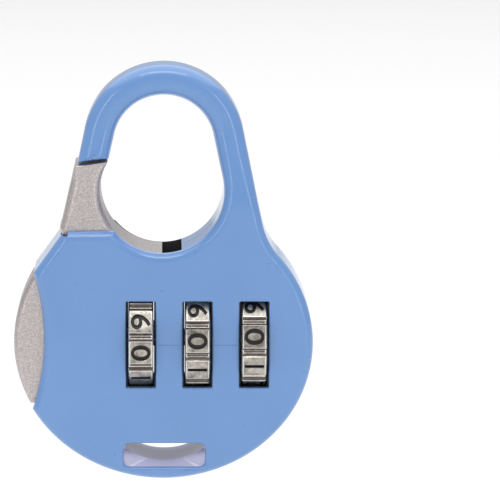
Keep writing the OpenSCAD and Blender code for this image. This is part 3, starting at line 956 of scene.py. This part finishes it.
def make_dials():
    """Three dials with engraved digits, and the black fill in the engraving."""
    wheel = bpy.data.objects.new("wheel", dial_wheel())
    bpy.context.scene.collection.objects.link(wheel)
    wheel.data.materials.append(NICKEL)
    wheel.data.materials.append(NICKEL_WORN_EDGE_AND_GLINT)
    wheel.data.materials.append(NICKEL_GROOVE_SHADE)
    # the grooves between the digit flats take the darker nickel: painted shade
    for face in wheel.data.polygons:
        out = math.hypot(face.center.y, face.center.z) / MM
        if abs(face.normal.x) < 0.5 and 5 < out < DIAL_FLAT_R - 0.12:
            face.material_index = 2
    digits = []
    for digit in range(DIGITS):
        obj = bpy.data.objects.new(f"cut_{digit}", dial_turned(digit_shape(digit), digit))
        obj.data.materials.clear()
        obj.data.materials.append(digit_black)
        bpy.context.scene.collection.objects.link(obj)
        digits.append(obj)
    cutter = merge(digits[0], *digits[1:])
    cutter.name = "digit_cutter"
    bm = bmesh.new()
    bm.from_mesh(cutter.data)
    bmesh.ops.remove_doubles(bm, verts=bm.verts, dist=1e-7)
    bmesh.ops.recalc_face_normals(bm, faces=bm.faces)
    bm.to_mesh(cutter.data)
    bm.free()
    bevel = wheel.modifiers.new("edges", "BEVEL")
    bevel.width = WORN_AND_GLINT_EDGE * MM
    bevel.segments = 2
    # the bevelled edges take the lighter nickel: rubbed edges and painted glints
    bevel.material = 1
    bevel.limit_method = "ANGLE"
    bevel.angle_limit = math.radians(30)
    bpy.context.view_layer.update()
    shape = bpy.data.meshes.new_from_object(wheel.evaluated_get(bpy.context.evaluated_depsgraph_get()))
    wheel.modifiers.clear()
    wheel.data = shape
    cut(wheel, cutter)
    wheel.data.shade_smooth()
    wheel.data.set_sharp_from_angle(angle=math.radians(28))
    made = {}
    for name in DIALS:
        obj = bpy.data.objects.new(f"{name}_wheel", wheel.data.copy())
        bpy.context.scene.collection.objects.link(obj)
        turn = math.radians(DIAL_TURN[name])
        for v in obj.data.vertices:
            x, y, z = v.co
            y, z = y * math.cos(turn) - z * math.sin(turn), y * math.sin(turn) + z * math.cos(turn)
            v.co = Vector((x + DIAL_X[name] * MM, y, z + DIAL_AXIS_Z * MM))
        made[name] = obj
    bpy.data.objects.remove(wheel, do_unlink=True)
    return made


# ---- small details of the shells ----

def index_cutters():
    """The faint engraved lines beside the windows that mark the reading row."""
    xs = [DIAL_X[name] for name in DIALS]
    cutters = []
    for a, b in zip(xs, xs[1:]):
        x0, x1 = a + WINDOW_W / 2 + 0.45, b - WINDOW_W / 2 - 0.45
        corners = [(x0, -0.1), (x1, -0.1), (x1, 0.1), (x0, 0.1)]
        outline = rounded(corners, 0.09, 2)
        cutters.append(slab("index_line", outline, [], HALF_T - 0.07, HALF_T + 0.5, SHARP, SHARP))
    return cutters


def mirrored(obj):
    """Turns a piece over from the rear face to the front one."""
    for v in obj.data.vertices:
        v.co.y = -v.co.y
    obj.data.flip_normals()
    return obj


def make_dial_walls(name, side):
    """The thin walls beside the dials in one half of the case, cut round for the spindle's fins."""
    notch = [polar((0, 0), 3.15, a) for a in range(-90, 91, 12)]
    y0, y1, z0, z1 = 0.02, CORE_T + 0.3, -8.8, 9.2
    profile = [(y1, z0), (y1, z1), (y0, z1)] + [(max(y0, p[0]), p[1]) for p in reversed(notch)] + [(y0, z0)]
    bm = bmesh.new()
    for dial in DIALS:
        for sense in (-1, 1):
            near = DIAL_X[dial] + sense * (DIAL_W / 2 + 0.15)
            rings = []
            for x in (near, near + sense * 0.9):
                rings.append([bm.verts.new(place(x, -side * y, z)) for y, z in profile])
            skin(bm, rings)
            for ring in rings:
                bm.faces.new(ring)
    return add_object(name, bm)


# ---- build ----

front = make_front_housing()
rear = make_rear_cover()
for shell in (front, rear):
    shell.data.materials.clear()
    shell.data.materials.append(BLUE)
hollow(front, -CORE_T, 0.5)
hollow(rear, -0.5, CORE_T)
for cutter in index_cutters():
    cut(front, mirrored(cutter))
for cutter in index_cutters():
    cut(rear, cutter)
notch_corners = [(-17.4, 19.2), (-16.5, 19.2), (-16.5, 20.5), (-17.4, 20.5)]
notch = slab("notch", notch_corners, [], -7, -4.8, SHARP, SHARP)
# the notch's cut faces take the near-black casting: painted shade
notch.data.materials.append(painted_shade_casting)
cut(front, notch)
front_walls = make_dial_walls("front_dial_walls", 1)
rear_walls = make_dial_walls("rear_dial_walls", -1)
for walls in (front_walls, rear_walls):
    # the walls beside the dials are near black: painted shade in the gaps beside the dials
    walls.data.materials.append(painted_shade_casting)
    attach(walls, "case")
front_lining = slot_lining("front_slot_lining", 1)
rear_lining = slot_lining("rear_slot_lining", -1)
for lining in (front_lining, rear_lining):
    # the lining takes the paler blue: painted reflection of the light above
    lining.data.materials.append(BLUE_PAINTED_REFLECTION)
for shell in (front, rear):
    shell.data.set_sharp_from_angle(angle=math.radians(35))
    even_shading(shell)
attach(front, "case")
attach(rear, "case")
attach(front_lining, "case")
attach(rear_lining, "case")
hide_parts("front_housing")
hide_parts("rear_cover")

lever = make_gate_lever()
lever.data.materials.clear()
lever.data.materials.append(SILVER)
even_shading(lever)
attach(lever, "lever")
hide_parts("gate_lever")

for name, obj in make_dials().items():
    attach(obj, DIAL_BODIES[name])
    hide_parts(name)

NODE_MATERIALS = {
    "case_pins": STEEL, "lever_guide_pins": STEEL, "lever_spring": SPRING,
    "sleeve_left": BRASS, "sleeve_middle": BRASS, "sleeve_right": BRASS,
    "spindle": STEEL, "spindle_clip": SPRING, "spindle_bush": BRASS, "spindle_spring": SPRING,
    "spring_seat": STEEL, "detent_comb": SPRING, "detent_screws": STEEL,
}
for name, mat in NODE_MATERIALS.items():
    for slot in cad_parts[name].material_slots:
        slot.material = mat


# ---- floor, light and camera ----

def area_light(name, where, aim, size, power, colour=(1, 1, 1)):
    data = bpy.data.lights.new(name, "AREA")
    data.shape = "RECTANGLE"
    data.size, data.size_y = size
    data.energy = power
    data.color = colour
    obj = bpy.data.objects.new(name, data)
    bpy.context.scene.collection.objects.link(obj)
    obj.location = where
    obj.rotation_euler = (Vector(aim) - Vector(where)).to_track_quat("-Z", "Y").to_euler()
    return obj


low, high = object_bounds()
middle = [(a + b) / 2 for a, b in zip(low, high)]

floor_z = low[2] - 0.05
floor_mesh = bpy.data.meshes.new("floor")
floor_bm = bmesh.new()
bmesh.ops.create_grid(floor_bm, x_segments=2, y_segments=2, size=3.0)
floor_bm.to_mesh(floor_mesh)
floor_bm.free()
floor = bpy.data.objects.new("floor", floor_mesh)
bpy.context.scene.collection.objects.link(floor)
floor.location = (0, 0, floor_z)
floor_mat, floor_shader = material("floor_white", (0.9, 0.9, 0.9), roughness=0.6)
floor_mesh.materials.append(floor_mat)

world = bpy.data.worlds.new("studio")
bpy.context.scene.world = world
world.use_nodes = True
world.node_tree.nodes["Background"].inputs["Color"].default_value = (1, 1, 1, 1)
world.node_tree.nodes["Background"].inputs["Strength"].default_value = 0.55
bpy.context.scene.view_settings.view_transform = "Standard"


def softbox(name, where, size, brightness):
    """An area light aimed at the object, given by its brightness and not its power."""
    area_light(name, where, middle, size, brightness * math.pi * size[0] * size[1])


softbox("overhead", (0.0, 0.25, 1.1), (2.4, 2.4), 1.15)
softbox("upper_front", (0.0, -0.30, 0.42), (0.34, 0.16), 3.2)
softbox("left_strip", (-0.36, -0.60, 0.04), (0.06, 0.44), 5.0)
softbox("right_strip", (0.36, -0.60, 0.04), (0.06, 0.44), 5.0)

camera_data = bpy.data.cameras.new("camera")
camera = bpy.data.objects.new("camera", camera_data)
bpy.context.scene.collection.objects.link(camera)
elevation = math.radians(11.5)
distance = 0.55
aim = Vector((0.0, 0.0, middle[2]))
camera.location = aim + Vector((0, -math.cos(elevation), math.sin(elevation))) * distance
camera.rotation_euler = (aim - camera.location).to_track_quat("-Z", "Y").to_euler()
camera_data.sensor_width = 36
camera_data.lens = 36 * distance / 0.0875
camera_data.shift_x = 0.1735
camera_data.shift_y = 0.038
camera_data.clip_start = 0.01
bpy.context.scene.camera = camera
